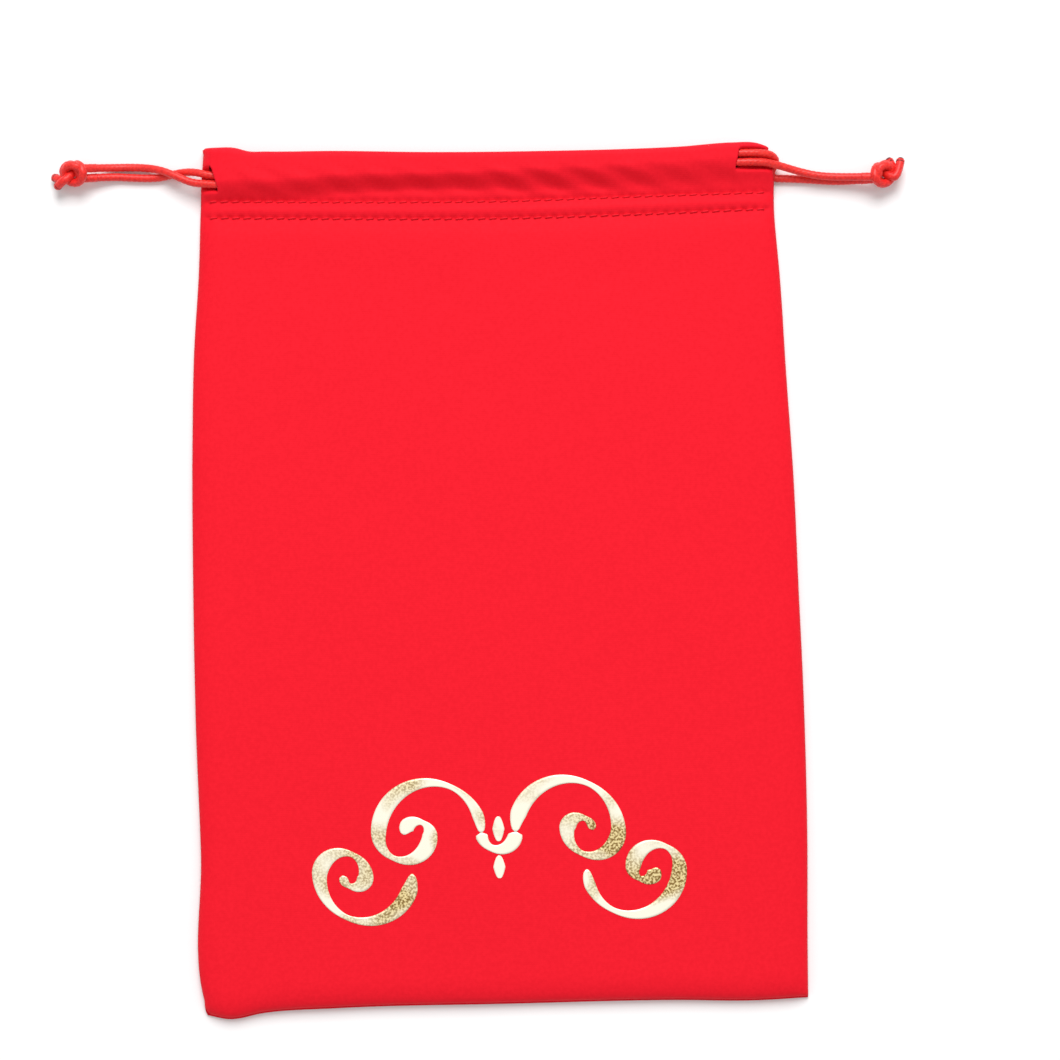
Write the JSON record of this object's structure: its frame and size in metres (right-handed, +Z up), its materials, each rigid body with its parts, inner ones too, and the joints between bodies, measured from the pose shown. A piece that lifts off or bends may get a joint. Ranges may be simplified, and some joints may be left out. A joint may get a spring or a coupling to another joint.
{
  "type": "drawstring gift pouch",
  "caption": "Flat cloth gift pouch with a stitched casing round its mouth, a knotted drawcord out of each side and a foil ornament on the front.",
  "frame": {"origin": "middle of the back of the pouch, on the surface it lies on", "axes": "+X to the right seen from the front, +Y towards the mouth, +Z up out of the printed front"},
  "size_m": [0.2489, 0.254, 0.0124],
  "materials": {
    "satin": "matte red satin",
    "cord": "twisted satin cord",
    "thread": "sewing thread",
    "foil": "pale gold foil print"
  },
  "bodies": {
    "pouch": {"front_panel": "satin", "back_panel": "satin", "casing_upper_stitching": "thread", "casing_lower_stitching": "thread", "left_side_seam_stitching": "thread", "right_side_seam_stitching": "thread", "bottom_seam_stitching": "thread", "foil_motif": "foil"},
    "left_mouth": {"left_opening_stitching": "thread"},
    "right_mouth": {"right_opening_stitching": "thread"},
    "left_cord": {"left_drawcord": "cord", "left_knot": "cord"},
    "right_cord": {"right_drawcord": "cord", "right_knot": "cord"}
  },
  "joints": [
    {"name": "left_cord_pull", "type": "slide", "parent": "pouch", "child": "left_cord", "axis": [-1, 0, 0], "range_m": [0, 0.045], "deforming": ["front_panel", "back_panel"]},
    {"name": "right_cord_pull", "type": "slide", "parent": "pouch", "child": "right_cord", "axis": [1, 0, 0], "range_m": [0, 0.045]},
    {"name": "left_mouth_gather", "type": "slide", "parent": "pouch", "child": "left_mouth", "axis": [1, 0, 0], "range_m": [0, 0.045], "deforming": ["casing_upper_stitching", "casing_lower_stitching"]},
    {"name": "right_mouth_gather", "type": "slide", "parent": "pouch", "child": "right_mouth", "axis": [-1, 0, 0], "range_m": [0, 0.045]}
  ],
  "couplings": [
    {"joint": "right_cord_pull", "follows": "left_cord_pull", "ratio": 1},
    {"joint": "left_mouth_gather", "follows": "left_cord_pull", "ratio": 1},
    {"joint": "right_mouth_gather", "follows": "left_cord_pull", "ratio": 1}
  ]
}
